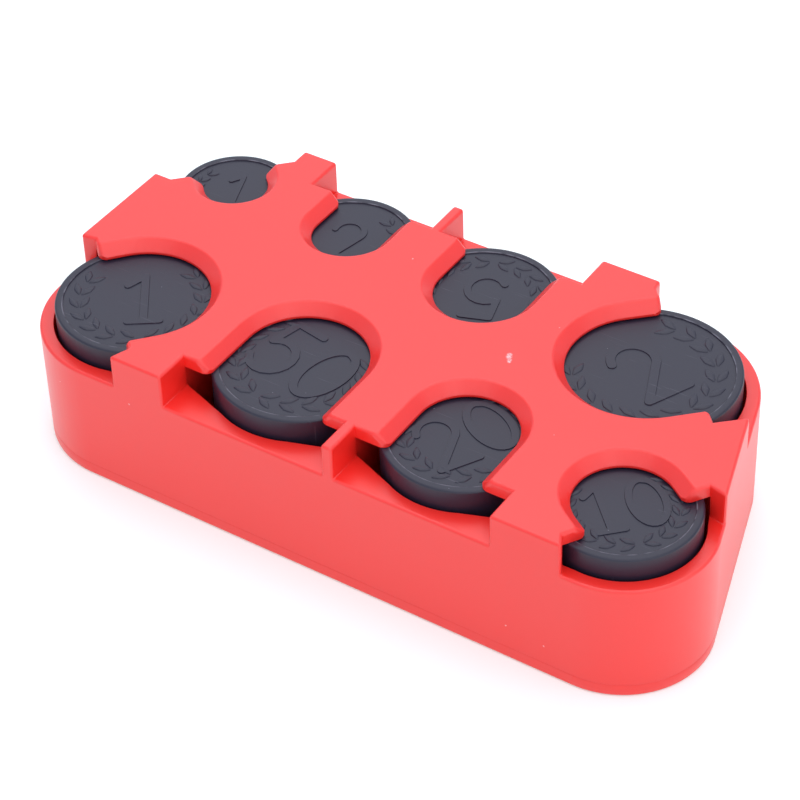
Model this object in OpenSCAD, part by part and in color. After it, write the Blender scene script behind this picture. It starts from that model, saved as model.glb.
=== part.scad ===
// Coin dispenser for eight coin sizes.
// Coins are pressed down onto sprung pushers and slid out sideways over a low wall, under two lips.
// X runs along the rows, Y from the front row to the back row, Z up from the base's underside.

/* [Front row, from the left] */
// Coin diameter in front bay 1
front_1_coin = 23.25; // [21:0.05:25]
// Coin diameter in front bay 2
front_2_coin = 24.25; // [21:0.05:27]
// Coin diameter in front bay 3
front_3_coin = 22.25; // [19:0.05:25]
// Coin diameter in front bay 4
front_4_coin = 19.75; // [18:0.05:22]
// Thumb hole diameter in front bay 1
front_1_thumb = 18.8; // [14:0.1:19.4]
// Thumb hole diameter in front bay 2
front_2_thumb = 17.3; // [12:0.1:19]
// Thumb hole diameter in front bay 3
front_3_thumb = 13.6; // [10:0.1:16]
// Thumb hole diameter in front bay 4
front_4_thumb = 13.2; // [10:0.1:15]

/* [Back row, from the left] */
// Coin diameter in back bay 1
back_1_coin = 16.25; // [15.5:0.05:18]
// Coin diameter in back bay 2
back_2_coin = 18.75; // [16:0.05:21]
// Coin diameter in back bay 3
back_3_coin = 21.25; // [18:0.05:23]
// Coin diameter in back bay 4
back_4_coin = 25.75; // [24:0.05:28]
// Thumb hole diameter in back bay 1
back_1_thumb = 9; // [7:0.1:11]
// Thumb hole diameter in back bay 2
back_2_thumb = 10.2; // [8:0.1:13]
// Thumb hole diameter in back bay 3
back_3_thumb = 13.3; // [10:0.1:16]
// Thumb hole diameter in back bay 4
back_4_thumb = 20.6; // [16:0.1:21]

/* [Coin exits] */
// Direction in which coins leave the front left bay, in degrees from +X
front_left_exit = 228; // [215:1:245]
// Direction in which coins leave the front right bay
front_right_exit = 327; // [315:1:335]
// Direction in which coins leave the back right bay
back_right_exit = 44; // [35:1:60]
// Direction in which coins leave the back left bay
back_left_exit = 135; // [125:1:145]
// Side room beside the coin at the front left exit
front_left_room = 0.55; // [0.5:0.05:1.6]
// Side room beside the coin at the front right exit
front_right_room = 0.15; // [0.1:0.05:0.35]
// Side room beside the coin at the back right exit
back_right_room = 0.9; // [0.5:0.05:1.5]
// Side room beside the coin at the back left exit
back_left_room = 0.6; // [0.5:0.05:1.2]
// Side room beside the coin at the straight exits of the middle bays
middle_room = 0.35; // [0.2:0.05:0.38]
// How far the front middle lips stop short of the coin's edge
front_lip_back = 3; // [2:0.1:4]
// How far the back middle lips stop short of the coin's edge
back_lip_back = 3.5; // [2.5:0.1:4.5]
// How far the front left lips stop short of the coin's edge
front_left_lip_back = 7.7; // [6:0.1:9]
// How far the front right lips stop short of the coin's edge
front_right_lip_back = 6.6; // [5:0.1:7.5]
// How far the back right lips stop short of the coin's edge
back_right_lip_back = 7.6; // [6:0.1:9]
// How far the back left lips stop short of the coin's edge
back_left_lip_back = 6; // [4.5:0.1:6.8]
// How far the front left exit's wall on the front face turns outward, in degrees
front_left_row_flare = 21; // [0:1:50]
// How far the front left exit's wall on the end face turns outward
front_left_end_flare = 40; // [0:1:50]
// How far the front right exit's wall on the front face turns outward
front_right_row_flare = 27; // [0:1:50]
// How far the front right exit's wall on the end face turns outward
front_right_end_flare = 20; // [0:1:50]
// How far the back right exit's wall on the back face turns outward
back_right_row_flare = 56; // [0:1:65]
// How far the back right exit's wall on the end face turns outward
back_right_end_flare = 2; // [0:1:40]
// How far the back left exit's wall on the back face turns outward
back_left_row_flare = 45; // [0:1:55]
// How far the back left exit's wall on the end face turns outward
back_left_end_flare = 45; // [0:1:55]
// How far the pockets under the lips reach into the exits' walls
pocket_step = 0.3; // [0.15:0.05:0.5]
// How far the pockets' straight sides cut into the bores' circles
pocket_bite = 0.05; // [0.03:0.01:0.1]

/* [Housing] */
// Overall height on the table
height = 23; // [20:0.1:40]
// Thickness of the top plate and its lips
plate_t = 1.9; // [1.5:0.1:3]
// Height of the coin slot between the low wall and the lips
slot_h = 3.1; // [2.6:0.1:4]
// Width of the sloped edge round the thumb holes
bevel_w = 1.5; // [0.8:0.1:1.8]
// Height of the upright land below the sloped edge
land_h = 0.4; // [0.2:0.1:1]
// Radius of the rounded lip tips
tip_r = 1.2; // [0.6:0.1:1.6]
// Radius of the lip tips' corners along the sloped edge
slope_tip_r = 0.7; // [0.4:0.1:0.8]
// Thickness of the low outer wall
rim = 1.9; // [1.5:0.1:3]
// Wall between neighbouring bores of one row
web = 1.6; // [1.2:0.1:3]
// Least wall between a front bore and a back bore
row_web = 1; // [0.8:0.1:3]
// Wall left round each bore and its pockets by the hollows underneath
tube_t = 1.4; // [1:0.1:1.8]
// Material left under the low wall's top by the hollows underneath
roof_t = 2; // [1.5:0.1:4]

/* [Pushers] */
// Radial gap between a pusher and its bore
bore_gap = 0.4; // [0.3:0.05:0.6]
// Overall height of a pusher
pusher_h = 6; // [5:0.1:8]
// Thickness of a pusher's top
pusher_top_t = 1.4; // [1:0.1:1.8]
// Thickness of a pusher's skirt
skirt_t = 1.2; // [0.8:0.1:1.6]
// Height of the flat rim round a pusher's face
rim_h = 0.2; // [0.1:0.05:0.5]
// Width of the flat rim
face_rim = 0.8; // [0.4:0.1:1.2]
// Width and drop of the sloped edge outside the rim
edge_w = 0.3; // [0.2:0.05:0.5]
// Height of the spring boss under a pusher's top
boss_h = 1.5; // [1:0.1:2]
// Gap between a pusher's rim and the lips at rest
stop_gap = 0.05; // [0.05:0.05:0.3]

/* [Base] */
// Thickness of the base plate
base_t = 2; // [1.5:0.1:3]
// Height of the round spigots that locate the base plate in the bores
spigot_h = 1; // [0.8:0.1:2]
// Radial gap between a spigot and its bore
spigot_gap = 0.2; // [0.1:0.05:0.3]
// Height of the spring peg on each spigot
peg_h = 2; // [1.5:0.1:2.5]
// Room left under a pusher's skirt at the bottom of its travel
foot_room = 0.4; // [0.3:0.1:1]

/* [Springs] */
// Wire diameter
wire_d = 0.6; // [0.4:0.05:0.7]
// Turns of wire
turns = 6.5; // [5:0.5:7]
// Gap between the close turns at a spring's two ends
end_turn_gap = 0.5; // [0.45:0.05:0.8]
// Gap between a spring and the skirt, boss and peg beside it
spring_gap = 0.5; // [0.3:0.1:0.8]
// Gap between a spring's ends and their seats
seat_gap = 0.05; // [0.02:0.01:0.1]

/* [Hidden] */
$fn = 96;
// Overlap of cutting shapes past the faces that they cut
over = 1;
front_exit = 270;
back_exit = 90;

// Bays run from the left along the front row, then along the back row
bay_names = ["front_1", "front_2", "front_3", "front_4", "back_1", "back_2", "back_3", "back_4"];
coins = [
    front_1_coin, front_2_coin, front_3_coin, front_4_coin,
    back_1_coin, back_2_coin, back_3_coin, back_4_coin
];
thumbs = [
    front_1_thumb, front_2_thumb, front_3_thumb, front_4_thumb,
    back_1_thumb, back_2_thumb, back_3_thumb, back_4_thumb
];
exits = [
    front_left_exit, front_exit, front_exit, front_right_exit,
    back_left_exit, back_exit, back_exit, back_right_exit
];
rooms = [
    front_left_room, middle_room, middle_room, front_right_room,
    back_left_room, middle_room, middle_room, back_right_room
];
lip_backs = [
    front_left_lip_back, front_lip_back, front_lip_back, front_right_lip_back,
    back_left_lip_back, back_lip_back, back_lip_back, back_right_lip_back
];
// Each exit's walls: the one on its left, looking the way the coins leave, then the one on its right
flares = [
    [front_left_row_flare, front_left_end_flare], [0, 0], [0, 0],
    [front_right_end_flare, front_right_row_flare],
    [back_left_end_flare, back_left_row_flare], [0, 0], [0, 0],
    [back_right_row_flare, back_right_end_flare]
];
row = 4;
bays = [0 : 2 * row - 1];
coin_r = [for (d = coins) d / 2];
bore_r = [for (r = coin_r) r + bore_gap];
thumb_r = [for (d = thumbs) d / 2];
lip_x = [for (i = bays) coin_r[i] - lip_backs[i]];
exit_w = [for (i = bays) coin_r[i] + rooms[i]];

// Places along a row: each bore stands one web from the bore before it
function along(i) = i % row == 0 ? rim + bore_r[i] : along(i - 1) + bore_r[i - 1] + web + bore_r[i];
bay_x = [for (i = bays) along(i)];
// The rows stand as close as the wall between their bores allows
function row_reach(i, k) =
    let (dx = bay_x[i] - bay_x[k], d = bore_r[i] + bore_r[k] + row_web)
    2 * rim + bore_r[i] + bore_r[k] + sqrt(max(0, d * d - dx * dx));
depth = max([for (i = [0 : row - 1], k = [row : 2 * row - 1]) row_reach(i, k)]);
length = max([for (i = bays) bay_x[i] + bore_r[i] + rim]);
function bay_y(i) = i < row ? rim + bore_r[i] : depth - rim - bore_r[i];
centre = [for (i = bays) [bay_x[i] - length / 2, bay_y(i) - depth / 2]];
reach = length;

// Levels
plate_z = height - plate_t;
land_z = plate_z + land_h;
slope_h = plate_t - land_h;
shelf_z = plate_z - slot_h;
spigot_z = base_t + spigot_h;
pusher_z = plate_z - stop_gap - pusher_h;
pusher_face_z = plate_z - stop_gap;
pusher_roof_z = pusher_face_z - rim_h - pusher_top_t;
travel = pusher_z - spigot_z - foot_room;

// One spring fits all bays, so the smallest pusher sets its width
wire_r = wire_d / 2;
spring_r = min(coin_r) - skirt_t - spring_gap - wire_r;
peg_r = spring_r - wire_r - spring_gap;
spring_z = spigot_z + seat_gap;
spring_h = pusher_roof_z - seat_gap - spring_z;
turn_rings = 8;
wire_sides = 6;
rings = round(turns * turn_rings);
end_pitch = wire_d + end_turn_gap;
mid_pitch = (spring_h - wire_d - 2 * end_pitch) / (turns - 2);

// The outline wraps the four corner bores: round corners joined by their common tangents
corners = [0, row - 1, 2 * row - 1, row];
function corner_r(i) = bore_r[i] + rim;
function tangent_angle(i, k) =
    let (d = centre[k] - centre[i])
    atan2(d.y, d.x) - acos((corner_r(i) - corner_r(k)) / norm(d));
function polar(r, a) = [r * cos(a), r * sin(a)];
function side(i, k, inset) =
    let (a = tangent_angle(i, k))
    [centre[i] + polar(corner_r(i) - inset, a), centre[k] + polar(corner_r(k) - inset, a)];

module outline(inset = 0) {
    for (i = corners)
        translate(centre[i]) circle(corner_r(i) - inset);
    polygon([for (c = [0 : 3]) each side(corners[c], corners[(c + 1) % 4], inset)]);
}

// Places its children at a bay, with their X axis along the way the coins leave
module at_bay(i) {
    translate([centre[i].x, centre[i].y, 0]) rotate([0, 0, exits[i]]) children();
}

// The bore with its two pockets, which open the space under the lips from below, grown by a wall.
// Straight sides run from the bore's edge to a corner under each lip.
module pocket(i, wall = 0) {
    touch_r = bore_r[i] - pocket_bite;
    circle(bore_r[i] + wall);
    for (s = [-1, 1]) {
        corner = [lip_x[i] - pocket_step, s * (exit_w[i] + pocket_step)];
        turn = atan2(corner.y, corner.x);
        spread = acos(touch_r / norm(corner));
        polygon([
            [0, 0], polar(touch_r + wall, turn - spread),
            corner + polar(wall / cos(spread), turn), polar(touch_r + wall, turn + spread)
        ]);
    }
}

// Plan of the open end past the lips, with its two walls turned outward
function exit_plan(i) =
    let (x = lip_x[i], w = exit_w[i], f = flares[i])
    [
        [x, -w], [x + reach, -w - reach * tan(f[1])],
        [x + reach, w + reach * tan(f[0])], [x, w]
    ];

// Cuts the bore with its pockets, the slot over the low wall and the open end past the lips
module coin_space(i) {
    back = lip_x[i] - pocket_step;
    translate([0, 0, base_t - over]) linear_extrude(plate_z - base_t + over) pocket(i);
    translate([0, 0, shelf_z]) linear_extrude(slot_h)
        polygon(concat([[back, exit_w[i]], [0, 0], [back, -exit_w[i]]], exit_plan(i)));
    translate([0, 0, shelf_z]) linear_extrude(slot_h + plate_t + over) polygon(exit_plan(i));
}

// Cuts the thumb hole and its straight channel, with a sloped upper edge
module thumb_space(i) {
    r = thumb_r[i];
    top_r = r + bevel_w * (slope_h + over) / slope_h;
    translate([0, 0, plate_z - over]) cylinder(r = r, h = over + land_h);
    translate([0, 0, land_z]) cylinder(r1 = r, r2 = top_r, h = slope_h + over);
    rotate([90, 0, 90]) linear_extrude(reach)
        polygon([
            [-r, plate_z - over], [r, plate_z - over], [r, land_z],
            [top_r, height + over], [-top_r, height + over], [-r, land_z]
        ]);
}

// Rounds an edge that runs up through the origin, with the material on its -X side and on side s of Y
module edge_round(s, r, low, high) {
    translate([-r, s * r, low])
        difference() {
            translate([0, s < 0 ? 0 : -r - over, 0]) cube([r + over, r + over, high - low]);
            translate([0, 0, -over]) cylinder(r = r, h = high - low + 2 * over);
        }
}

// Rounds the two lip tips: upright where the channel's sides meet the lips' ends, then along the slope
module tip_rounds(i) {
    for (s = [-1, 1])
        translate([lip_x[i], s * thumb_r[i], land_z]) {
            edge_round(s, tip_r, -land_h - over, slope_h + over);
            rotate([-s * atan2(bevel_w, slope_h), 0, 0])
                edge_round(s, slope_tip_r, -slope_tip_r, norm([bevel_w, slope_h]) + over);
        }
}

// Hollows under the low wall that leave an even wall round the bores and their pockets
module hollows() {
    difference() {
        translate([0, 0, base_t - over]) linear_extrude(shelf_z - roof_t - base_t + over) outline(rim);
        for (i = bays)
            at_bay(i) translate([0, 0, base_t - 2 * over])
                linear_extrude(shelf_z + 2 * over) pocket(i, tube_t);
    }
}

module housing() {
    color("#e8484e") difference() {
        translate([0, 0, base_t]) linear_extrude(height - base_t) outline();
        for (i = bays)
            at_bay(i) {
                coin_space(i);
                thumb_space(i);
                tip_rounds(i);
            }
        hollows();
    }
}

module base_plate() {
    color("#e8484e") {
        linear_extrude(base_t) outline();
        for (i = bays)
            at_bay(i) {
                translate([0, 0, base_t / 2]) cylinder(r = bore_r[i] - spigot_gap, h = base_t / 2 + spigot_h);
                translate([0, 0, base_t / 2]) cylinder(r = peg_r, h = base_t / 2 + spigot_h + peg_h);
            }
    }
}

// A cup, open below, with a flat rim round its face and a boss that centres the spring
module pusher(i) {
    r = coin_r[i];
    face_z = pusher_face_z - rim_h;
    flat_r = r - edge_w;
    color("#3a383f") at_bay(i) rotate_extrude()
        polygon([
            [0, face_z], [flat_r - face_rim, face_z], [flat_r - face_rim, pusher_face_z],
            [flat_r, pusher_face_z], [r, pusher_face_z - edge_w], [r, pusher_z],
            [r - skirt_t, pusher_z], [r - skirt_t, pusher_roof_z], [peg_r, pusher_roof_z],
            [peg_r, pusher_roof_z - boss_h], [0, pusher_roof_z - boss_h]
        ]);
}

// Height of the wire's middle after t turns: close turns at both ends, open turns between
function wire_z(t) =
    wire_r + end_pitch * min(t, 1) + mid_pitch * min(max(t - 1, 0), turns - 2)
    + end_pitch * max(t - turns + 1, 0);
function wire_point(k) =
    let (t = k / turn_rings)
    [spring_r * cos(360 * t), spring_r * sin(360 * t), wire_z(t)];
wire = [for (k = [0 : rings]) wire_point(k)];
function ring_point(k, s) =
    let (a = 360 * k / turn_rings, b = 360 * s / wire_sides, out = wire_r * cos(b))
    wire[k] + [out * cos(a), out * sin(a), wire_r * sin(b)];
function quad(a, b, c, d) = [[a, b, c], [a, c, d]];

// Least gap of the wire to itself, measured between rings at least half a turn apart
wire_gap = min([
    for (k = [0 : rings], m = [k + turn_rings / 2 : 1 : rings]) norm(wire[k] - wire[m])
]) - wire_d;
echo(wire_gap = wire_gap, travel = travel, length = length, depth = depth);

module spring(i) {
    points = [for (k = [0 : rings], s = [0 : wire_sides - 1]) ring_point(k, s)];
    last = rings * wire_sides;
    tube = [
        for (k = [0 : rings - 1], s = [0 : wire_sides - 1])
            let (n = (s + 1) % wire_sides, a = k * wire_sides, b = a + wire_sides)
            each quad(a + s, a + n, b + n, b + s)
    ];
    start_cap = [for (s = [1 : wire_sides - 2]) [0, s + 1, s]];
    end_cap = [for (s = [1 : wire_sides - 2]) [last, last + s, last + s + 1]];
    color("#b9bcc2") at_bay(i) translate([0, 0, spring_z])
        polyhedron(points, concat(tube, start_cap, end_cap), convexity = 10);
}

housing();
base_plate();
for (i = bays)
    pusher(i);
for (i = bays)
    spring(i);
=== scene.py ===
"""Looks of a coin dispenser with eight sprung bays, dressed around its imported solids."""

import logging
import math
from contextlib import contextmanager
from dataclasses import dataclass, field
from enum import Enum
from typing import Callable, Iterator

import bmesh
import bpy
from mathutils import Matrix, Vector
from mathutils.geometry import convex_hull_2d


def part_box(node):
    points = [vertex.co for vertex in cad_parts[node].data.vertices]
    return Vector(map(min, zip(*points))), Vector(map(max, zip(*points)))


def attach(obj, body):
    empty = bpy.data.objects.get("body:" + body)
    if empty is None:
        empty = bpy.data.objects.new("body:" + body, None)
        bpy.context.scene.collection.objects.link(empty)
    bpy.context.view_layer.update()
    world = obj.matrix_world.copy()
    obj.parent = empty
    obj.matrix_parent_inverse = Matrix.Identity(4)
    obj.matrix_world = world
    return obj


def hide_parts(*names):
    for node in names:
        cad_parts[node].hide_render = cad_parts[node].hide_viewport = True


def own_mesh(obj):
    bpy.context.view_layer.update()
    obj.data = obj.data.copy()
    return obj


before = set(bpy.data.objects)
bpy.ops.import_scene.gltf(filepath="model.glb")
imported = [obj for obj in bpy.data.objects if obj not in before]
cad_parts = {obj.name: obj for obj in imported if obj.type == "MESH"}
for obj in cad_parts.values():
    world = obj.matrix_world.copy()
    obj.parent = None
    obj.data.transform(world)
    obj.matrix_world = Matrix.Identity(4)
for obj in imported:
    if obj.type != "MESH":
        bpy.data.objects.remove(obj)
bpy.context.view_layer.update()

LOG = logging.getLogger("coin_dispenser")
MM = 0.001
IMAGE_SIDE = 800
SENSOR = 36.0
# Mesh attribute that marks the edges which coins rub, where a pale line stands for wear and a painted
# highlight
WEAR_AND_HIGHLIGHT = "rubbed_and_lit_edge"
# In millimetres, down to the tight curve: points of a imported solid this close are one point
WELD = 0.03
# Points that a rounding leaves this close are merged
SLIVER = 0.002
# Points this close are the same point
SAME = 0.001
# A point this close to a line or a circle lies on it
TOUCH = 0.01
# The middle of a chord lies at most this far inside its circle
CHORD_SAG = 0.2
# An edge whose ends are this close to a level lies at it
LEVEL_ROOM = 0.02
# A curve with a smaller radius than this is tight
TIGHT_CURVE = 2.5
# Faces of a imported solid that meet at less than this, in degrees, are one flat face
FLAT_ANGLE = 0.4
# Faces that meet at this or more, in degrees, have a sharp edge between them
SHARP_ANGLE = 20
# The least turn, in radians, that counts as a curve
LEAST_TURN = 0.001
# How much large flat faces count, out of 100, in the shading beside them
FLAT_WEIGHT = 60
# A face whose normal has at least this share along Z lies level
LEVEL_SHARE = 0.9
# Where the values of a noise start and stop counting as a mark
WEAR_AND_HIGHLIGHT_CUT = (0.42, 0.6)
HAIRLINE_CUT = (0.74, 0.82)
SCUFF_CUT = (0.36, 0.55)
# Turns, in radians, of the two ways that scratches run
HAIRLINE_TURNS = ((0.3, 0.2, 0.5), (-0.25, 0.35, -0.9))


def linear(hex_code: str) -> tuple[float, float, float, float]:
    """Turn an sRGB hex colour into linear RGBA.

    Args:
        hex_code: Six hex digits, red first.

    Returns:
        Linear red, green, blue and an alpha of 1.
    """
    parts = [int(hex_code[i:i + 2], 16) / 255 for i in (0, 2, 4)]
    bent = [c / 12.92 if c <= 0.04045 else ((c + 0.055) / 1.055) ** 2.4 for c in parts]
    return (*bent, 1.0)


def per_mm(size: float) -> float:
    """Give the texture scale, in metres, of a pattern whose features are size millimetres wide."""
    return 1.0 / (size * MM)


def add_node(tree: bpy.types.NodeTree, kind: str, values: dict | None = None,
             links: dict | None = None) -> bpy.types.Node:
    """Add a shader node with its settings and links.

    Args:
        tree: The node tree that takes the node.
        kind: The node's type name.
        values: Properties and input values, by property or socket name, or by input number.
        links: Sockets to link, by input name or number.

    Returns:
        The new node.
    """
    node = tree.nodes.new(kind)
    for name, value in (values or {}).items():
        if isinstance(name, str) and hasattr(node, name):
            setattr(node, name, value)
        else:
            node.inputs[name].default_value = value
    for name, source in (links or {}).items():
        tree.links.new(source, node.inputs[name])
    return node


def blank_material(name: str) -> tuple[bpy.types.Material, bpy.types.NodeTree]:
    """Make a material with an empty node tree.

    Args:
        name: The material's name.

    Returns:
        The material and its tree.
    """
    material = bpy.data.materials.new(name)
    material.use_nodes = True
    material.node_tree.nodes.clear()
    return material, material.node_tree


def select_only(obj: bpy.types.Object) -> None:
    """Make one object the only selected one, and the active one.

    Args:
        obj: The object.
    """
    bpy.ops.object.select_all(action="DESELECT")
    obj.select_set(True)
    bpy.context.view_layer.objects.active = obj


@contextmanager
def edit_mode(obj: bpy.types.Object) -> Iterator[None]:
    """Open an object's mesh in edit mode with nothing selected, and close it again.

    Args:
        obj: The object, which becomes the active one.
    """
    select_only(obj)
    bpy.ops.object.mode_set(mode="EDIT")
    bpy.ops.mesh.select_mode(type="FACE")
    bpy.ops.mesh.select_all(action="DESELECT")
    yield
    bpy.ops.object.mode_set(mode="OBJECT")


def select_faces(obj: bpy.types.Object, picks: Callable[[bpy.types.MeshPolygon], bool]) -> None:
    """Select, from edit mode, only the faces that a test picks.

    Args:
        obj: The object that is in edit mode.
        picks: Test on a face of its mesh.
    """
    bpy.ops.mesh.select_all(action="DESELECT")
    bpy.ops.object.mode_set(mode="OBJECT")
    for face in obj.data.polygons:
        face.select = picks(face)
    bpy.ops.object.mode_set(mode="EDIT")


def apply_modifier(obj: bpy.types.Object, kind: str, **settings: object) -> None:
    """Add a modifier with its settings and apply it at once.

    Args:
        obj: The object to change.
        kind: The modifier's type name.
        settings: The modifier's properties.
    """
    select_only(obj)
    modifier = obj.modifiers.new(kind.lower(), kind)
    for name, value in settings.items():
        setattr(modifier, name, value)
    bpy.ops.object.modifier_apply(modifier=modifier.name)


def node_copy(node: str, name: str) -> bpy.types.Object:
    """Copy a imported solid's mesh, merge its loose triangles and join those that lie in one plane.

    Args:
        node: The solid's name.
        name: The copy's name.

    Returns:
        The copy, in the same place.
    """
    obj = bpy.data.objects.new(name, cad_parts[node].data.copy())
    bpy.context.scene.collection.objects.link(obj)
    obj.data.materials.clear()
    with edit_mode(obj):
        bpy.ops.mesh.select_all(action="SELECT")
        bpy.ops.mesh.customdata_custom_splitnormals_clear()
        bpy.ops.mesh.remove_doubles(threshold=WELD * MM)
        bpy.ops.mesh.dissolve_limited(angle_limit=math.radians(FLAT_ANGLE))
    return obj


def bend_wire(name: str, points: list[tuple[float, float, float, float]], radius: float, sides: int,
              closed: bool = False) -> bpy.types.Object:
    """Lay a round wire through points and make it a mesh.

    Args:
        name: The wire's name.
        points: Place in metres at each point, then the share of the full radius there.
        radius: The wire's full radius in metres.
        sides: The curve's bevel resolution.
        closed: Whether the last point joins the first.

    Returns:
        The wire, capped where it is open.
    """
    curve = bpy.data.curves.new(name, "CURVE")
    curve.dimensions = "3D"
    curve.bevel_depth = radius
    curve.bevel_resolution = sides
    curve.use_fill_caps = True
    line = curve.splines.new("POLY")
    line.use_cyclic_u = closed
    line.points.add(len(points) - 1)
    for point, (x, y, z, share) in zip(line.points, points):
        point.co = (x, y, z, 1)
        point.radius = share
    obj = bpy.data.objects.new(name, curve)
    bpy.context.scene.collection.objects.link(obj)
    select_only(obj)
    bpy.ops.object.convert(target="MESH")
    return bpy.context.object


class Bend(Enum):
    """Whether the material at an edge stands out or falls in."""

    CONVEX = "convex"
    CONCAVE = "concave"


@dataclass(frozen=True)
class EdgeSpot:
    """What a rounding rule can ask about an edge, in millimetres."""

    low: float
    high: float
    run: float
    curl: float
    bend: Bend
    outer: bool

    @property
    def upright(self) -> bool:
        """Whether the edge stands upright."""
        return self.run < TOUCH

    @property
    def tight(self) -> bool:
        """Whether the edge lies on a tight curve, as round a lip's tip."""
        return self.curl < TIGHT_CURVE

    def at(self, height: float) -> bool:
        """Tell whether the edge lies level at a height."""
        return max(abs(self.low - height), abs(self.high - height)) < LEVEL_ROOM


@dataclass(frozen=True)
class EdgeRound:
    """A radius in millimetres and the test that picks the edges it rounds."""

    radius: float
    picks: Callable[[EdgeSpot], bool]


def outline_test(obj: bpy.types.Object) -> Callable[[Vector], bool]:
    """Make a test for points that lie on the outline, seen from above.

    Args:
        obj: An object with a convex outline.

    Returns:
        A test on a point of the object.
    """
    plan = [v.co.xy for v in obj.data.vertices]
    hull = [plan[i] for i in convex_hull_2d(plan)]
    sides = [(a, b) for a, b in zip(hull, hull[1:] + hull[:1]) if (b - a).length > SAME * MM]

    def on_outline(point: Vector) -> bool:
        """Tell whether a point lies on the outline.

        Args:
            point: A point of the object.

        Returns:
            Whether it touches one of the outline's sides.
        """
        for start, end in sides:
            along = end - start
            share = max(0.0, min(1.0, (point.xy - start).dot(along) / along.length_squared))
            if (start + along * share - point.xy).length < TOUCH * MM:
                return True
        return False

    return on_outline


def refine_arcs(obj: bpy.types.Object, circles: list[tuple[Vector, float]], cuts: int = 3) -> None:
    """Cut the chords of round walls finer and set the new points on their circles.

    Args:
        obj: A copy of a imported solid.
        circles: Middle in metres and radius in metres of each round wall, seen from above.
        cuts: New points on each chord.
    """
    near = TOUCH * MM
    deep = CHORD_SAG * MM
    bm = bmesh.new()
    bm.from_mesh(obj.data)

    def radius_at(point: Vector, slack: float) -> tuple[Vector, float] | None:
        """Find the circle that a point lies on, or just inside of.

        Args:
            point: A point of the object.
            slack: How far inside it may lie, in metres.

        Returns:
            The circle's middle and radius, or None.
        """
        for middle, radius in circles:
            if -slack < (point.xy - middle).length - radius < near:
                return middle, radius
        return None

    chords = []
    for edge in bm.edges:
        ends = [v.co for v in edge.verts]
        found = [radius_at(end, near) for end in ends]
        if abs(ends[0].z - ends[1].z) < near and found[0] is not None and found[0] == found[1]:
            chords.append(edge)
    made = bmesh.ops.subdivide_edges(bm, edges=chords, cuts=cuts, use_grid_fill=True)
    for item in made["geom_inner"]:
        circle = radius_at(item.co, deep) if isinstance(item, bmesh.types.BMVert) else None
        if circle is not None:
            out = (item.co.xy - circle[0]).normalized() * circle[1] + circle[0]
            item.co = (*out, item.co.z)
    bm.to_mesh(obj.data)
    bm.free()


def curl_radius(edge: bmesh.types.BMEdge, sharp: set[bmesh.types.BMEdge]) -> float:
    """Give the radius of the curve that an edge forms with the sharp edges that go on from it.

    Args:
        edge: A sharp edge.
        sharp: All sharp edges of the mesh.

    Returns:
        The smaller radius of its two ends in millimetres, or infinity where the line is straight.
    """
    radius = math.inf
    for near in edge.verts:
        along = near.co - edge.other_vert(near).co
        onward = [(other.other_vert(near).co - near.co) for other in near.link_edges
                  if other is not edge and other in sharp]
        turns = [(along.angle(way, math.pi), way.length) for way in onward]
        if turns:
            turn, length = min(turns)
            radius = min(radius, (along.length + length) / 2 / max(turn, LEAST_TURN) / MM)
    return radius


def round_edges(obj: bpy.types.Object, rules: list[EdgeRound], segments: int = 3) -> None:
    """Round the edges of a moulded piece, each kind of edge with its own radius.

    A round that meets two faces starts further from a sharp edge than from a blunt one, so the
    width of each bevel follows from its radius and from the angle between its faces.

    Args:
        obj: The piece, whose mesh is closed.
        rules: The first rule that picks an edge gives its radius.
        segments: Faces across a rounded edge.
    """
    on_outline = outline_test(obj)
    bm = bmesh.new()
    bm.from_mesh(obj.data)
    weights = bm.edges.layers.float.new("bevel_weight_edge")
    sharp = {edge for edge in bm.edges if edge.calc_face_angle(0.0) >= math.radians(SHARP_ANGLE)}
    widths = {}
    for edge in sharp:
        turn = edge.calc_face_angle_signed(0.0)
        ends = [v.co for v in edge.verts]
        heights = sorted(end.z / MM for end in ends)
        spot = EdgeSpot(heights[0], heights[1], (ends[1].xy - ends[0].xy).length / MM,
                        curl_radius(edge, sharp), Bend.CONVEX if turn > 0 else Bend.CONCAVE,
                        all(on_outline(end) for end in ends))
        rule = next((rule for rule in rules if rule.picks(spot)), None)
        if rule is not None:
            widths[edge] = rule.radius * math.tan(abs(turn) / 2)
    widest = max(widths.values())
    for edge, width in widths.items():
        edge[weights] = width / widest
    bm.to_mesh(obj.data)
    bm.free()
    apply_modifier(obj, "BEVEL", width=widest * MM, segments=segments, limit_method="WEIGHT",
                   use_clamp_overlap=False, miter_outer="MITER_ARC", loop_slide=False)
    with edit_mode(obj):
        bpy.ops.mesh.select_all(action="SELECT")
        bpy.ops.mesh.remove_doubles(threshold=SLIVER * MM)


def finish_shading(obj: bpy.types.Object, angle: float = 38) -> None:
    """Shade a piece smooth, with its flat faces kept flat.

    Args:
        obj: The piece.
        angle: Faces that meet at more than this, in degrees, keep a hard edge.
    """
    select_only(obj)
    bpy.ops.object.shade_smooth_by_angle(angle=math.radians(angle))
    apply_modifier(obj, "WEIGHTED_NORMAL", keep_sharp=True, weight=FLAT_WEIGHT)


def dress(obj: bpy.types.Object, material: bpy.types.Material, body: str,
          node: str) -> None:
    """Give a finished piece its material, its body and the solid it stands for.

    Args:
        obj: The finished piece.
        material: Its material.
        body: The body that it rides on.
        node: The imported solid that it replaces.
    """
    obj.data.materials.clear()
    obj.data.materials.append(material)
    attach(obj, body)
    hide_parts(node)
    LOG.info("%s: %d faces on %s", obj.name, len(obj.data.polygons), body)


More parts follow.
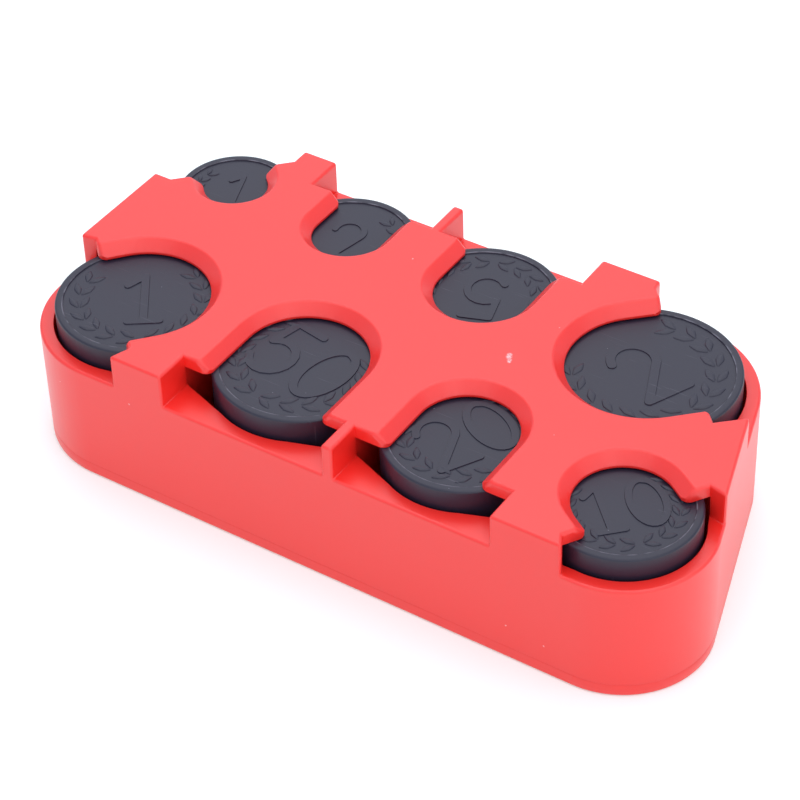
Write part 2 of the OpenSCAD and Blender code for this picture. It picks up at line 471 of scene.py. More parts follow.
@dataclass(frozen=True)
class MouldedPlastic:
    """An injection moulded plastic with flow marks, orange peel, rubbed edges with a painted highlight,
    hairlines, scuffs and dust.

    Lengths are in millimetres, and a scuff is a place and a radius.
    """

    name: str
    colour: str
    deep: str
    wear_and_highlight_colour: str
    roughness: float
    smoother: float = 0.03
    rougher: float = 0.04
    mark_roughness: float = 0.3
    specular: float = 0.5
    ior: float = 1.5
    glow: float = 0.0
    glow_colours: tuple[float, float, float] = (1.0, 0.22, 0.18)
    glow_depth: float = 1.2
    peel: float = 1.2
    peel_depth: float = 0.004
    peel_strength: float = 0.5
    flow: float = 16.0
    hairline: float = 0.16
    hairline_length: float = 14.0
    hairline_share: float = 0.0
    scuffs: tuple[tuple[tuple[float, float, float], float], ...] = ()
    scuff_grain: float = 0.25
    scuff_core: float = 0.3
    scuff_strength: float = 0.95
    # The rim's pale line: rubbed wear and a painted highlight, broken by grain
    wear_and_highlight_grain: float = 1.6
    wear_and_highlight_core: float = 0.85
    wear_and_highlight_strength: float = 0.45
    dust_spacing: float = 4.0
    dust: float = 0.1
    dust_core: float = 0.6
    dust_strength: float = 0.75
    dust_free: float = 0.72

    def material(self) -> bpy.types.Material:
        """Build the node material.

        Returns:
            The material, patterned in the piece's own millimetres.
        """
        material, tree = blank_material(self.name)
        place = add_node(tree, "ShaderNodeTexCoord").outputs["Object"]
        flow = add_node(tree, "ShaderNodeTexNoise", {"Scale": per_mm(self.flow), "Detail": 1.0},
                        {"Vector": place}).outputs["Fac"]
        tone = add_node(tree, "ShaderNodeMix",
                        {"data_type": "RGBA", 6: linear(self.deep), 7: linear(self.colour)},
                        {0: flow}).outputs[2]
        marks = self.dust_mask(tree, place)
        for mask in [self.wear_and_highlight_mask(tree, place), *self.hairline_masks(tree, place),
                     *self.scuff_masks(tree, place)]:
            marks = add_node(tree, "ShaderNodeMath", {"operation": "MAXIMUM"},
                             {0: marks, 1: mask}).outputs[0]
        colour = add_node(tree, "ShaderNodeMix", {"data_type": "RGBA", 7: linear(self.wear_and_highlight_colour)},
                          {0: marks, 6: tone}).outputs[2]
        rough = add_node(tree, "ShaderNodeMapRange",
                         {"To Min": self.roughness - self.smoother,
                          "To Max": self.roughness + self.rougher},
                         {"Value": flow}).outputs[0]
        marked = add_node(tree, "ShaderNodeMath",
                          {"operation": "MULTIPLY_ADD", "use_clamp": True, 1: self.mark_roughness},
                          {0: marks, 2: rough}).outputs[0]
        peel = add_node(tree, "ShaderNodeTexNoise", {"Scale": per_mm(self.peel), "Detail": 0.0},
                        {"Vector": place}).outputs["Fac"]
        normal = add_node(tree, "ShaderNodeBump",
                          {"Strength": self.peel_strength, "Distance": self.peel_depth * MM},
                          {"Height": peel}).outputs["Normal"]
        shader = add_node(tree, "ShaderNodeBsdfPrincipled",
                          {"IOR": self.ior, "Specular IOR Level": self.specular,
                           "Subsurface Weight": self.glow,
                           "Subsurface Radius": self.glow_colours,
                           "Subsurface Scale": self.glow_depth * MM},
                          {"Base Color": colour, "Roughness": marked, "Normal": normal})
        add_node(tree, "ShaderNodeOutputMaterial", None, {"Surface": shader.outputs[0]})
        return material

    def wear_and_highlight_mask(self, tree: bpy.types.NodeTree,
                  place: bpy.types.NodeSocket) -> bpy.types.NodeSocket:
        """Pale the edges that the mesh marks as rubbed, with gaps, as wear and as a painted highlight.

        Args:
            tree: The material's node tree.
            place: The piece's own coordinates.

        Returns:
            A mask, above 0 on a rubbed edge with its painted highlight.
        """
        # The pale line on the marked rim edge is partly wear and partly a painted highlight
        marked = add_node(tree, "ShaderNodeAttribute", {"attribute_name": WEAR_AND_HIGHLIGHT}).outputs["Fac"]
        edge = add_node(tree, "ShaderNodeMapRange",
                        {"From Min": self.wear_and_highlight_core, "To Max": self.wear_and_highlight_strength},
                        {"Value": marked}).outputs[0]
        grain = add_node(tree, "ShaderNodeTexNoise", {"Scale": per_mm(self.wear_and_highlight_grain)},
                         {"Vector": place}).outputs["Fac"]
        broken = add_node(tree, "ShaderNodeMapRange",
                          {"From Min": WEAR_AND_HIGHLIGHT_CUT[0], "From Max": WEAR_AND_HIGHLIGHT_CUT[1]},
                          {"Value": grain}).outputs[0]
        return add_node(tree, "ShaderNodeMath", {"operation": "MULTIPLY"},
                        {0: edge, 1: broken}).outputs[0]

    def hairline_masks(self, tree: bpy.types.NodeTree,
                       place: bpy.types.NodeSocket) -> list[bpy.types.NodeSocket]:
        """Draw sparse fine scratches that run two ways.

        Args:
            tree: The material's node tree.
            place: The piece's own coordinates.

        Returns:
            Masks, above 0 on a scratch, or none where the plastic has no scratches.
        """
        masks = []
        for turn in HAIRLINE_TURNS if self.hairline_share else ():
            across = add_node(tree, "ShaderNodeMapping",
                              {"Rotation": turn,
                               "Scale": (per_mm(self.hairline_length), per_mm(self.hairline),
                                         per_mm(self.hairline_length))},
                              {"Vector": place}).outputs[0]
            streaks = add_node(tree, "ShaderNodeTexNoise",
                               {"Scale": 1.0, "Detail": 1.0, "Distortion": 0.4},
                               {"Vector": across}).outputs["Fac"]
            masks.append(add_node(tree, "ShaderNodeMapRange",
                                  {"From Min": HAIRLINE_CUT[0], "From Max": HAIRLINE_CUT[1],
                                   "To Max": self.hairline_share},
                                  {"Value": streaks}).outputs[0])
        return masks

    def scuff_masks(self, tree: bpy.types.NodeTree,
                    place: bpy.types.NodeSocket) -> list[bpy.types.NodeSocket]:
        """Break the gloss in a few small grainy spots.

        Args:
            tree: The material's node tree.
            place: The piece's own coordinates.

        Returns:
            A mask for each scuff, highest in its middle.
        """
        masks = []
        for spot, radius in self.scuffs:
            away = add_node(tree, "ShaderNodeVectorMath",
                            {"operation": "DISTANCE", 1: [v * MM for v in spot]},
                            {0: place}).outputs["Value"]
            middle = add_node(tree, "ShaderNodeMapRange",
                              {"From Min": self.scuff_core * radius * MM, "From Max": radius * MM,
                               "To Min": self.scuff_strength, "To Max": 0.0},
                              {"Value": away}).outputs[0]
            grain = add_node(tree, "ShaderNodeTexNoise", {"Scale": per_mm(self.scuff_grain)},
                             {"Vector": place}).outputs["Fac"]
            broken = add_node(tree, "ShaderNodeMapRange",
                              {"From Min": SCUFF_CUT[0], "From Max": SCUFF_CUT[1]},
                              {"Value": grain}).outputs[0]
            masks.append(add_node(tree, "ShaderNodeMath", {"operation": "MULTIPLY"},
                                  {0: middle, 1: broken}).outputs[0])
        return masks

    def dust_mask(self, tree: bpy.types.NodeTree,
                  place: bpy.types.NodeSocket) -> bpy.types.NodeSocket:
        """Scatter small pale specks of dust.

        Args:
            tree: The material's node tree.
            place: The piece's own coordinates.

        Returns:
            A mask, above 0 on a speck.
        """
        cells = add_node(tree, "ShaderNodeTexVoronoi", {"Scale": per_mm(self.dust_spacing)},
                         {"Vector": place})
        near = add_node(tree, "ShaderNodeMapRange",
                        {"From Min": self.dust_core * self.dust / self.dust_spacing,
                         "From Max": self.dust / self.dust_spacing,
                         "To Min": self.dust_strength, "To Max": 0.0},
                        {"Value": cells.outputs["Distance"]}).outputs[0]
        some = add_node(tree, "ShaderNodeMath", {"operation": "GREATER_THAN", 1: self.dust_free},
                        {0: cells.outputs["Color"]}).outputs[0]
        return add_node(tree, "ShaderNodeMath", {"operation": "MULTIPLY"},
                        {0: near, 1: some}).outputs[0]


@dataclass(frozen=True)
class DrawnSteel:
    """Spring wire: drawn steel, bright along the wire with fine die lines."""

    name: str = "drawn_spring_steel"
    colour: str = "b9bcc2"
    grain: float = 0.12
    smooth: float = 0.24
    rough: float = 0.42

    def material(self) -> bpy.types.Material:
        """Build the node material.

        Returns:
            The material.
        """
        material, tree = blank_material(self.name)
        place = add_node(tree, "ShaderNodeTexCoord").outputs["Object"]
        lines = add_node(tree, "ShaderNodeTexNoise", {"Scale": per_mm(self.grain), "Detail": 2.0},
                         {"Vector": place}).outputs["Fac"]
        rough = add_node(tree, "ShaderNodeMapRange", {"To Min": self.smooth, "To Max": self.rough},
                         {"Value": lines}).outputs[0]
        shader = add_node(tree, "ShaderNodeBsdfPrincipled",
                          {"Base Color": linear(self.colour), "Metallic": 1.0}, {"Roughness": rough})
        add_node(tree, "ShaderNodeOutputMaterial", None, {"Surface": shader.outputs[0]})
        return material


# Scuffs on the top plate, four of them in one streak, and then on the front wall
RED_SCUFFS = (
    ((12.85, 1.85, 23.0), 0.45), ((13.0, 1.45, 23.0), 0.5), ((13.35, 0.95, 23.0), 0.4),
    ((13.55, 0.6, 23.0), 0.3), ((-8.85, 12.35, 23.0), 0.16), ((15.55, 9.95, 23.0), 0.16),
    ((-28.7, -25.4, 16.0), 0.2), ((29.0, -25.4, 5.6), 0.2), ((34.5, -25.4, 4.9), 0.2),
)
# Glossy red ABS: a saturated body colour under a clear gloss that picks up the white room
RED_ABS = MouldedPlastic("glossy_red_abs", colour="fb2c23", deep="f7271f", wear_and_highlight_colour="ffd2d2",
                         roughness=0.315, specular=0.74, ior=1.53, glow=0.22, scuffs=RED_SCUFFS)
# Satin black polystyrene: soft broad reflections, pale hairlines where coins have slid
BLACK_PS = MouldedPlastic("satin_black_polystyrene", colour="252334", deep="211f2e", wear_and_highlight_colour="8f8d98",
                          roughness=0.4, specular=0.45, ior=1.55, peel=0.35, peel_depth=0.006,
                          hairline_share=0.2, hairline_length=7.0, dust_spacing=2.0, dust=0.07)


@dataclass
class Housing:
    """The red moulding with its top plate, lips, exits and bores."""

    node: str = "housing"
    body: str = "housing_body"
    slot: str = "red_plastic"
    plate_top: float = 23.0
    land_top: float = 21.5
    plate_under: float = 21.1
    shelf: float = 18.0
    seam: float = 2.0
    bore_gap: float = 0.4
    rim: float = 1.9
    slope: float = 1.5
    thumbs: dict[str, float] = field(default_factory=lambda: {
        "front_1": 18.8, "front_2": 17.3, "front_3": 13.6, "front_4": 13.2,
        "back_1": 9.0, "back_2": 10.2, "back_3": 13.3, "back_4": 20.6,
    })

    def circles(self) -> list[tuple[Vector, float]]:
        """List the circles that the round walls lie on, seen from above.

        Returns:
            Middle and radius, in metres, of the bores, outer corners and thumb holes.
        """
        found = []
        for bay, thumb in self.thumbs.items():
            low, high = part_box(f"pusher_{bay}")
            bore = (high.x - low.x) / 2 / MM + self.bore_gap
            for radius in (bore, bore + self.rim, thumb / 2, thumb / 2 + self.slope):
                found.append((((low + high) / 2).xy, radius * MM))
        return found

    def rules(self) -> list[EdgeRound]:
        """List how the moulding's edges are rounded.

        Returns:
            The rules, in the order in which they are asked.
        """
        convex, concave = Bend.CONVEX, Bend.CONCAVE
        lips = self.plate_under - 0.1
        walls = self.shelf - 1
        return [
            EdgeRound(0.4, lambda e: e.at(self.plate_top) and e.outer),
            EdgeRound(0.5, lambda e: e.at(self.plate_top)),
            EdgeRound(0.0, lambda e: e.low > lips and e.tight),
            EdgeRound(0.12, lambda e: e.at(self.plate_under) and e.bend is convex),
            EdgeRound(0.25, lambda e: e.at(self.land_top)),
            EdgeRound(0.4, lambda e: e.at(self.shelf) and e.outer),
            EdgeRound(0.1, lambda e: e.at(self.shelf) and e.bend is convex),
            EdgeRound(0.15, lambda e: e.at(self.shelf) and e.bend is concave),
            EdgeRound(0.04, lambda e: e.at(self.seam) and e.outer),
            EdgeRound(0.4, lambda e: e.low > walls and e.outer and e.upright),
            EdgeRound(0.35, lambda e: e.low > walls and e.upright and e.bend is concave),
            EdgeRound(0.2, lambda e: e.low > walls and e.upright),
            EdgeRound(0.12, lambda e: e.low > self.plate_under),
        ]

    def build(self, material: bpy.types.Material) -> bpy.types.Object:
        """Round a copy of the solid and dress it.

        Args:
            material: The red plastic.

        Returns:
            The finished housing.
        """
        obj = node_copy(self.node, "housing_moulding")
        refine_arcs(obj, self.circles())
        round_edges(obj, self.rules())
        finish_shading(obj)
        dress(obj, material, self.body, self.node)
        return obj


@dataclass
class BasePlate:
    """The red plate that closes the underside."""

    node: str = "base_plate"
    body: str = "housing_body"
    slot: str = "red_plastic"
    thickness: float = 2.0

    def build(self, material: bpy.types.Material) -> bpy.types.Object:
        """Round a copy of the solid and dress it.

        Args:
            material: The red plastic.

        Returns:
            The finished plate.
        """
        obj = node_copy(self.node, "base_plate_moulding")
        refine_arcs(obj, Housing().circles())
        round_edges(obj, [
            EdgeRound(0.5, lambda e: e.at(0.0) and e.outer),
            EdgeRound(0.1, lambda e: e.at(self.thickness) and e.outer),
        ])
        finish_shading(obj)
        dress(obj, material, self.body, self.node)
        return obj


def arc(middle: tuple[float, float], radii: tuple[float, float], start: float, end: float,
        steps: int = 14) -> list[tuple[float, float]]:
    """Give points along an elliptic arc.

    Args:
        middle: Its middle.
        radii: Its radii along X and Y.
        start: Where it starts, in degrees from X.
        end: Where it ends.
        steps: Steps from one end to the other.

    Returns:
        The points.
    """
    angles = [math.radians(start + (end - start) * k / steps) for k in range(steps + 1)]
    return [(middle[0] + radii[0] * math.cos(a), middle[1] + radii[1] * math.sin(a)) for a in angles]


# Plain digits as strokes and the step from one digit to the next, in shares of the face's radius
DIGIT_STEP = 0.68
DIGIT_STROKES = {
    "0": [[*arc((0, 0), (0.25, 0.46), 90, 425, 28), (0.0, 0.46)]],
    "1": [[(-0.18, 0.28), (0.04, 0.46)], [(0.04, 0.46), (0.04, -0.46)], [(-0.16, -0.46), (0.24, -0.46)]],
    "2": [[*arc((0, 0.2), (0.25, 0.26), 165, -35), (-0.26, -0.46)], [(-0.26, -0.46), (0.28, -0.46)]],
    "5": [[(0.22, 0.46), (-0.18, 0.46)], [(-0.18, 0.46), (-0.21, 0.04)],
          arc((-0.02, -0.17), (0.27, 0.29), 134, -150)],
}


@dataclass
class CoinPusher:
    """A black cup with a raised rim, a numeral and a leaf wreath on its face.

    Lengths are in millimetres. A stroke's width and a leaf's length are shares of the face's radius,
    and a leaf's width is one of its length. A row of leaves is a lean in radians and such a share.
    """

    bay: str
    numeral: str
    turn: float
    slot: str = "black_plastic"
    sides: int = 144
    edge: float = 0.3
    rim_width: float = 0.8
    rim_height: float = 0.2
    skirt: float = 1.2
    top: float = 1.4
    boss_height: float = 1.5
    boss_radius: float = 5.025
    rim_round: float = 0.12
    rim_foot_round: float = 0.03
    skirt_round: float = 0.15
    wear_and_highlight_width: float = 0.15
    wear_and_highlight_drop: float = 0.1
    numeral_height: float = 0.13
    stroke: float = 0.11
    stroke_sides: int = 6
    stroke_drop: float = 0.004
    stroke_excess: float = 3.0
    leaf_height: float = 0.18
    leaf_length: float = 0.24
    leaf_width: float = 0.42
    leaf_taper: float = 0.5
    leaf_pairs: int = 7
    leaf_start: float = 12
    leaf_spacing: float = 19
    leaf_rows: tuple[tuple[float, float], ...] = ((0.5, 0.86), (-0.5, 0.72))

    def build(self, material: bpy.types.Material) -> bpy.types.Object:
        """Turn the cup, raise its relief and dress it.

        Args:
            material: The black plastic.

        Returns:
            The finished pusher.
        """
        node = f"pusher_{self.bay}"
        low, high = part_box(node)
        centre = (low + high) / 2
        radius = (high.x - low.x) / 2 / MM
        face = high.z / MM - self.rim_height
        obj = self.cup(centre, radius, low.z / MM, high.z / MM)
        relief = self.raised_work(centre, radius - self.edge - self.rim_width, face)
        apply_modifier(obj, "BOOLEAN", operation="UNION", solver="EXACT", use_self=True, object=relief)
        bpy.data.objects.remove(relief)
        finish_shading(obj, 30)
        self.mark_wear_and_highlight(obj, centre, radius - self.edge - self.rim_width, high.z / MM)
        obj.name = f"coin_{node}"
        dress(obj, material, f"{self.bay}_pusher", node)
        return obj

    def cup(self, centre: Vector, radius: float, low: float, high: float) -> bpy.types.Object:
        """Shape the cup from a cylinder.

        Args:
            centre: Its middle.
            radius: Its outer radius in millimetres.
            low: Its lowest level in millimetres.
            high: Its highest level in millimetres.

        Returns:
            The cup, with its edges rounded.
        """
        bpy.ops.object.select_all(action="DESELECT")
        bpy.ops.mesh.primitive_cylinder_add(vertices=self.sides, radius=radius * MM,
                                            depth=(high - low) * MM, location=centre)
        obj = bpy.context.object
        bpy.ops.object.transform_apply(location=True, rotation=True, scale=True)
        with edit_mode(obj):
            select_faces(obj, lambda f: f.normal.z > LEVEL_SHARE)
            bpy.ops.mesh.inset(thickness=(self.edge + self.rim_width) * MM)
            self.extrude(-self.rim_height)
            select_faces(obj, lambda f: f.normal.z < -LEVEL_SHARE)
            bpy.ops.mesh.inset(thickness=self.skirt * MM)
            self.extrude(high - self.rim_height - self.top - low)
            bpy.ops.mesh.inset(thickness=(radius - self.skirt - self.boss_radius) * MM)
            self.extrude(-self.boss_height)
        round_edges(obj, [
            EdgeRound(self.edge, lambda e: e.at(high) and e.outer),
            EdgeRound(self.rim_round, lambda e: e.at(high)),
            EdgeRound(self.rim_foot_round, lambda e: e.at(high - self.rim_height)),
            EdgeRound(self.skirt_round, lambda e: e.at(low)),
        ])
        return obj

    def mark_wear_and_highlight(self, obj: bpy.types.Object, centre: Vector, radius: float, top: float) -> None:
        """Mark the rim's inner edge, which the coins rub and where the material paints a highlight.

        Args:
            obj: The pusher.
            centre: Its middle.
            radius: Radius of the rim's inner edge in millimetres.
            top: Level of the rim's top in millimetres.
        """
        # Marks the band that gets the pale wear and the painted highlight
        marks = obj.data.attributes.new(WEAR_AND_HIGHLIGHT, "FLOAT", "POINT").data
        for vertex, mark in zip(obj.data.vertices, marks):
            away = (vertex.co.xy - centre.xy).length / MM - radius
            mark.value = float(abs(away) < self.wear_and_highlight_width and vertex.co.z > (top - self.wear_and_highlight_drop) * MM)

    @staticmethod
    def extrude(height: float) -> None:
        """Extrude the selected face upright by a height in millimetres."""
        bpy.ops.mesh.extrude_region_move(TRANSFORM_OT_translate={"value": (0, 0, height * MM)})

    def raised_work(self, centre: Vector, radius: float, face: float) -> bpy.types.Object:
        """Model the numeral and the wreath.

        Args:
            centre: The pusher's middle.
            radius: Radius of the sunk face in millimetres.
            face: Level of the sunk face in millimetres.

        Returns:
            One object of closed shapes that reach into the face.
        """
        spot = Vector((centre.x, centre.y, face * MM))
        pieces = self.numeral_shape(spot, radius) + self.wreath(spot, radius)
        bpy.ops.object.select_all(action="DESELECT")
        for piece in pieces:
            piece.select_set(True)
        bpy.context.view_layer.objects.active = pieces[0]
        bpy.ops.object.join()
        return pieces[0]

    def numeral_shape(self, spot: Vector, radius: float) -> list[bpy.types.Object]:
        """Model the numeral's strokes, each a little lower than the one before it.

        Args:
            spot: The middle of the face.
            radius: Radius of the sunk face in millimetres.

        Returns:
            The strokes as closed meshes.
        """
        shapes = []
        start = -DIGIT_STEP / 2 * (len(self.numeral) - 1)
        for place, digit in enumerate(self.numeral):
            for order, stroke in enumerate(DIGIT_STROKES[digit]):
                obj = self.stroke_shape(stroke, start + DIGIT_STEP * place, radius)
                self.level(obj, self.numeral_height - self.stroke_drop * order)
                self.put_down(obj, spot, math.radians(self.turn))
                shapes.append(obj)
        return shapes

    def stroke_shape(self, stroke: list[tuple[float, float]], shift: float,
                     radius: float) -> bpy.types.Object:
        """Bend one stroke as a wire and make it taller than it is to be.

        Args:
            stroke: Its points, in shares of the face's radius.
            shift: How far it stands to the right, in such shares.
            radius: Radius of the sunk face in millimetres.

        Returns:
            The stroke as a closed mesh round the origin.
        """
        half = self.stroke / 2 * radius
        closed = stroke[0] == stroke[-1]
        points = [(x, y, 1.0) for x, y in stroke[:-1]] if closed else self.round_ended(stroke)
        wire = [((x + shift) * radius * MM, y * radius * MM, 0.0, share) for x, y, share in points]
        obj = bend_wire("stroke", wire, half * MM, self.stroke_sides, closed)
        with edit_mode(obj):
            bpy.ops.mesh.select_all(action="SELECT")
            bpy.ops.transform.resize(value=(1, 1, self.stroke_excess * self.numeral_height / half),
                                     center_override=(0, 0, 0))
            bpy.ops.mesh.remove_doubles(threshold=SAME * MM)
            bpy.ops.mesh.normals_make_consistent(inside=False)
        return obj

    @staticmethod
    def level(obj: bpy.types.Object, height: float) -> None:
        """Press a wire flat at a height in millimetres, which leaves a level top and steep sides."""
        for vertex in obj.data.vertices:
            vertex.co.z = max(-height * MM, min(height * MM, vertex.co.z))

    def round_ended(self, stroke: list[tuple[float, float]]) -> list[tuple[float, float, float]]:
        """Narrow a stroke past its two ends, so that they are round.

        Args:
            stroke: Points of an open stroke.

        Returns:
            Points with the share of the stroke's width at each.
        """
        steps = (0.4, 0.7, 0.9, 1.0)

        def cap(end: tuple[float, float], beside: tuple[float, float]) -> list[tuple[float, float, float]]:
            """Give the points of one round end, from the stroke outwards."""
            way = (Vector(end) - Vector(beside)).normalized() * self.stroke / 2
            return [(*(Vector(end) + way * step), math.sqrt(1 - step ** 2)) for step in steps]

        middle = [(x, y, 1.0) for x, y in stroke]
        return cap(stroke[0], stroke[1])[::-1] + middle + cap(stroke[-1], stroke[-2])

    @staticmethod
    def put_down(obj: bpy.types.Object, spot: Vector, turn: float) -> None:
        """Turn a piece, move it to a spot and keep its place in its mesh.

        Args:
            obj: The piece, at the origin.
            spot: Where it goes.
            turn: Its turn about Z in radians.
        """
        obj.matrix_world = Matrix.Translation(spot) @ Matrix.Rotation(turn, 4, "Z")
        select_only(obj)
        bpy.ops.object.transform_apply(location=True, rotation=True, scale=True)

    def wreath(self, spot: Vector, radius: float) -> list[bpy.types.Object]:
        """Model one leaf and copy it along two branches that leave the top open.

        Args:
            spot: The middle of the face.
            radius: Radius of the sunk face in millimetres.

        Returns:
            The leaves as closed meshes.
        """
        leaf = self.leaf(self.leaf_length * radius)
        leaves = []
        for side in (-1, 1):
            for step in range(self.leaf_pairs):
                swing = self.leaf_start + self.leaf_spacing * step
                around = math.radians(self.turn - 90 + side * swing)
                for lean, reach in self.leaf_rows:
                    copy = leaf.copy()
                    copy.data = leaf.data.copy()
                    bpy.context.scene.collection.objects.link(copy)
                    out = Vector((math.cos(around), math.sin(around), 0)) * reach * radius * MM
                    heading = around + side * (math.pi / 2 - lean)
                    self.put_down(copy, spot + out, heading)
                    leaves.append(copy)
        bpy.data.objects.remove(leaf)
        return leaves

    def leaf(self, length: float) -> bpy.types.Object:
        """Shape one pointed leaf from a sphere.

        Args:
            length: Its length in millimetres.

        Returns:
            The leaf, lying along X at the origin.
        """
        bpy.ops.object.select_all(action="DESELECT")
        bpy.ops.mesh.primitive_uv_sphere_add(segments=10, ring_count=8, radius=0.5 * MM)
        obj = bpy.context.object
        with edit_mode(obj):
            bpy.ops.mesh.select_all(action="SELECT")
            bpy.ops.transform.rotate(value=math.pi / 2, orient_axis="Y", center_override=(0, 0, 0))
            bpy.ops.transform.resize(value=(length, self.leaf_width * length, 2 * self.leaf_height))
        for vertex in obj.data.vertices:
            vertex.co.y *= 1 - self.leaf_taper * abs(vertex.co.x) / (0.5 * length * MM)
        return obj


@dataclass
class CoilSpring:
    """A compression spring under a pusher, with close turns at both ends."""

    bay: str
    slot: str = "spring_steel"
    body: str = "housing_body"
    wire: float = 0.6
    turns: float = 6.5
    end_gap: float = 0.5
    steps: int = 32
    seat: float = 3.0
    travel: float = 11.65
    sides: int = 3

    def height_after(self, turn: float, height: float) -> float:
        """Give the wire's height after some turns.

        Args:
            turn: Turns from the lower end.
            height: The spring's height in millimetres.

        Returns:
            Height of the wire's middle over the spring's lower end, in millimetres.
        """
        close = self.wire + self.end_gap
        wide = (height - self.wire - 2 * close) / (self.turns - 2)
        middle = min(max(turn - 1, 0), self.turns - 2)
        last = max(turn - self.turns + 1, 0)
        return self.wire / 2 + close * min(turn, 1) + wide * middle + close * last

    def build(self, material: bpy.types.Material) -> bpy.types.Object:
        """Wind the wire and dress it.

        Args:
            material: The spring steel.

        Returns:
            The finished spring.
        """
        node = f"spring_{self.bay}"
        low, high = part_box(node)
        height = (high.z - low.z) / MM
        pusher_low, pusher_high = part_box(f"pusher_{self.bay}")
        centre = (pusher_low + pusher_high) / 2
        radius = (high.x - low.x) / 2 - self.wire / 2 * MM
        points = []
        for k in range(round(self.turns * self.steps) + 1):
            turn = k / self.steps
            angle = 2 * math.pi * turn
            points.append((centre.x + radius * math.cos(angle), centre.y + radius * math.sin(angle),
                           low.z + self.height_after(turn, height) * MM, 1.0))
        obj = bend_wire(f"coil_{node}", points, self.wire / 2 * MM, self.sides)
        bpy.ops.object.shade_smooth()
        dress(obj, material, self.body, node)
        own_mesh(obj)
        return obj


@dataclass(frozen=True)
class Softbox:
    """A square lamp that faces the object, with its power in watts and its side and place in metres."""

    name: str
    power: float
    side: float
    place: tuple[float, float, float]


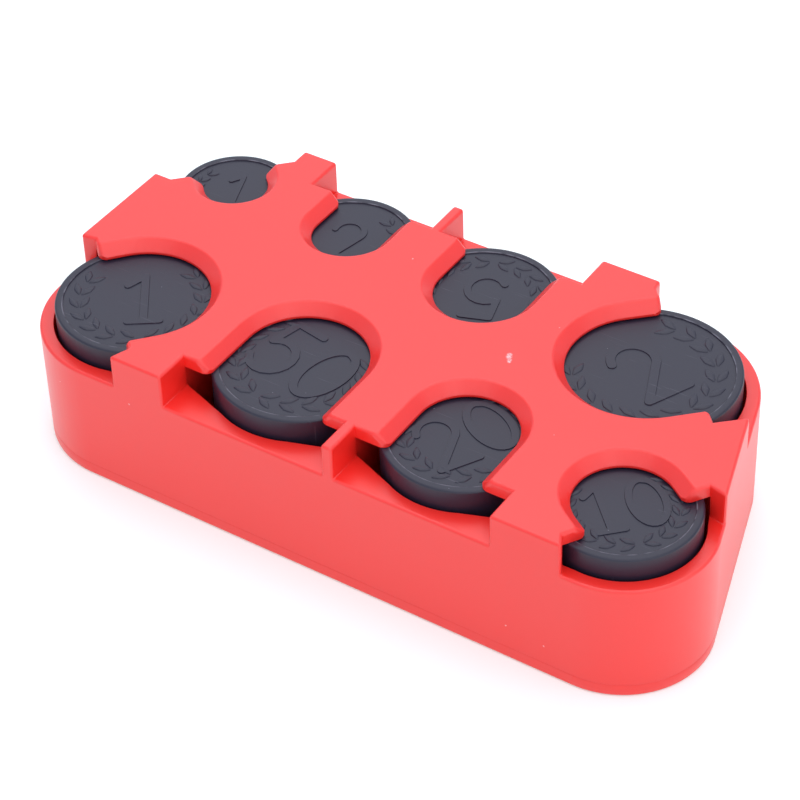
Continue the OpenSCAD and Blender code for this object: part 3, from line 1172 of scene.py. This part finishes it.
@dataclass
class Studio:
    """White room, floor, lamps and the camera at the photograph's angle.

    Angles are in degrees and the camera's place is in millimetres.
    """

    azimuth: float = 34.4642
    elevation: float = 40.4751
    roll: float = -1.9711
    focal_pixels: float = 2780.976
    eye: tuple[float, float, float] = (157.19, -233.73, 251.43)
    clip: float = 10.0
    room_tint: str = "e5edff"
    room_light: float = 0.84
    paper: str = "f2f2f2"
    floor_side: float = 8.0
    floor_glow: str = "d0ffee"
    floor_lift: float = 0.26
    lamps: tuple[Softbox, ...] = (
        Softbox("overhead_softbox", 2.1, 0.9, (0.0, 0.1, 0.72)),
        Softbox("right_softbox", 1.2, 0.9, (0.75, -0.1, 0.35)),
        Softbox("back_softbox", 1.35, 0.9, (-0.45, 0.65, 0.65)),
        Softbox("front_softbox", 2.0, 1.2, (0.3, -0.6, 0.7)),
    )

    def camera(self) -> None:
        """Place the camera where the photograph was taken from."""
        az, el, roll = (math.radians(a) for a in (self.azimuth, self.elevation, self.roll))
        back = Vector((math.sin(az) * math.cos(el), -math.cos(az) * math.cos(el), math.sin(el)))
        level = Vector((math.cos(az), math.sin(az), 0))
        rise = back.cross(level)
        right = math.cos(roll) * level + math.sin(roll) * rise
        up = -math.sin(roll) * level + math.cos(roll) * rise
        data = bpy.data.cameras.new("photo_camera")
        data.sensor_width = SENSOR
        data.lens = SENSOR * self.focal_pixels / IMAGE_SIDE
        data.clip_start = self.clip * MM
        obj = bpy.data.objects.new("photo_camera", data)
        turn = Matrix((right, up, back)).transposed().to_4x4()
        obj.matrix_world = Matrix.Translation(Vector(self.eye) * MM) @ turn
        bpy.context.scene.collection.objects.link(obj)
        bpy.context.scene.camera = obj

    def floor(self) -> None:
        """Lay a white floor that keeps the object's soft shadow, with a glow that offsets its red cast."""
        bpy.ops.object.select_all(action="DESELECT")
        bpy.ops.mesh.primitive_plane_add(size=self.floor_side)
        obj = bpy.context.object
        obj.name = "studio_floor"
        material, tree = blank_material("white_paper_sweep")
        paths = add_node(tree, "ShaderNodeLightPath").outputs
        seen = add_node(tree, "ShaderNodeMath", {"operation": "MAXIMUM"},
                        {0: paths["Is Camera Ray"], 1: paths["Is Glossy Ray"]}).outputs[0]
        lift = add_node(tree, "ShaderNodeMath", {"operation": "MULTIPLY", 1: self.floor_lift},
                        {0: seen}).outputs[0]
        paper = add_node(tree, "ShaderNodeBsdfDiffuse", {"Color": linear(self.paper)}).outputs[0]
        light = add_node(tree, "ShaderNodeEmission", {"Color": linear(self.floor_glow)},
                         {"Strength": lift}).outputs[0]
        both = add_node(tree, "ShaderNodeAddShader", None, {0: paper, 1: light}).outputs[0]
        add_node(tree, "ShaderNodeOutputMaterial", None, {"Surface": both})
        obj.data.materials.append(material)

    def light(self) -> None:
        """Fill the room with even, slightly cool light and set soft lamps round the object."""
        world = bpy.data.worlds.new("white_room")
        bpy.context.scene.world = world
        world.use_nodes = True
        tree = world.node_tree
        tree.nodes.clear()
        paths = add_node(tree, "ShaderNodeLightPath").outputs
        strength = add_node(tree, "ShaderNodeMapRange", {"To Min": self.room_light, "To Max": 1.0},
                            {"Value": paths["Is Camera Ray"]}).outputs[0]
        tint = add_node(tree, "ShaderNodeMix",
                        {"data_type": "RGBA", 6: linear(self.room_tint), 7: linear("ffffff")},
                        {0: paths["Is Camera Ray"]}).outputs[2]
        sky = add_node(tree, "ShaderNodeBackground", None,
                       {"Color": tint, "Strength": strength}).outputs[0]
        add_node(tree, "ShaderNodeOutputWorld", None, {"Surface": sky})
        for lamp in self.lamps:
            data = bpy.data.lights.new(lamp.name, "AREA")
            data.shape = "SQUARE"
            data.size = lamp.side
            data.energy = lamp.power
            obj = bpy.data.objects.new(lamp.name, data)
            turn = Vector(lamp.place).to_track_quat("Z", "Y").to_matrix().to_4x4()
            obj.matrix_world = Matrix.Translation(lamp.place) @ turn
            bpy.context.scene.collection.objects.link(obj)

    def build(self) -> None:
        """Set up the whole studio."""
        bpy.context.scene.view_settings.view_transform = "Standard"
        self.camera()
        self.floor()
        self.light()


@dataclass
class CoinDispenser:
    """The whole object: housing, base plate, eight pushers and eight springs.

    A bay is its name, its numeral and the numeral's turn in degrees.
    """

    bays: list[tuple[str, str, float]] = field(default_factory=lambda: [
        ("front_1", "1", 35.0), ("front_2", "50", -10.0),
        ("front_3", "20", 60.0), ("front_4", "10", 45.0),
        ("back_1", "1", 20.0), ("back_2", "2", 30.0),
        ("back_3", "5", 200.0), ("back_4", "2", 65.0),
    ])

    def build(self) -> None:
        """Build and dress every piece."""
        red, black, steel = RED_ABS.material(), BLACK_PS.material(), DrawnSteel().material()
        Housing().build(red)
        BasePlate().build(red)
        for bay, numeral, turn in self.bays:
            CoinPusher(bay, numeral, turn).build(black)
            CoilSpring(bay).build(steel)


def main() -> None:
    """Build the studio and the object."""
    logging.basicConfig(level=logging.INFO, format="%(name)s: %(message)s")
    Studio().build()
    CoinDispenser().build()


if __name__ == "__main__":
    main()
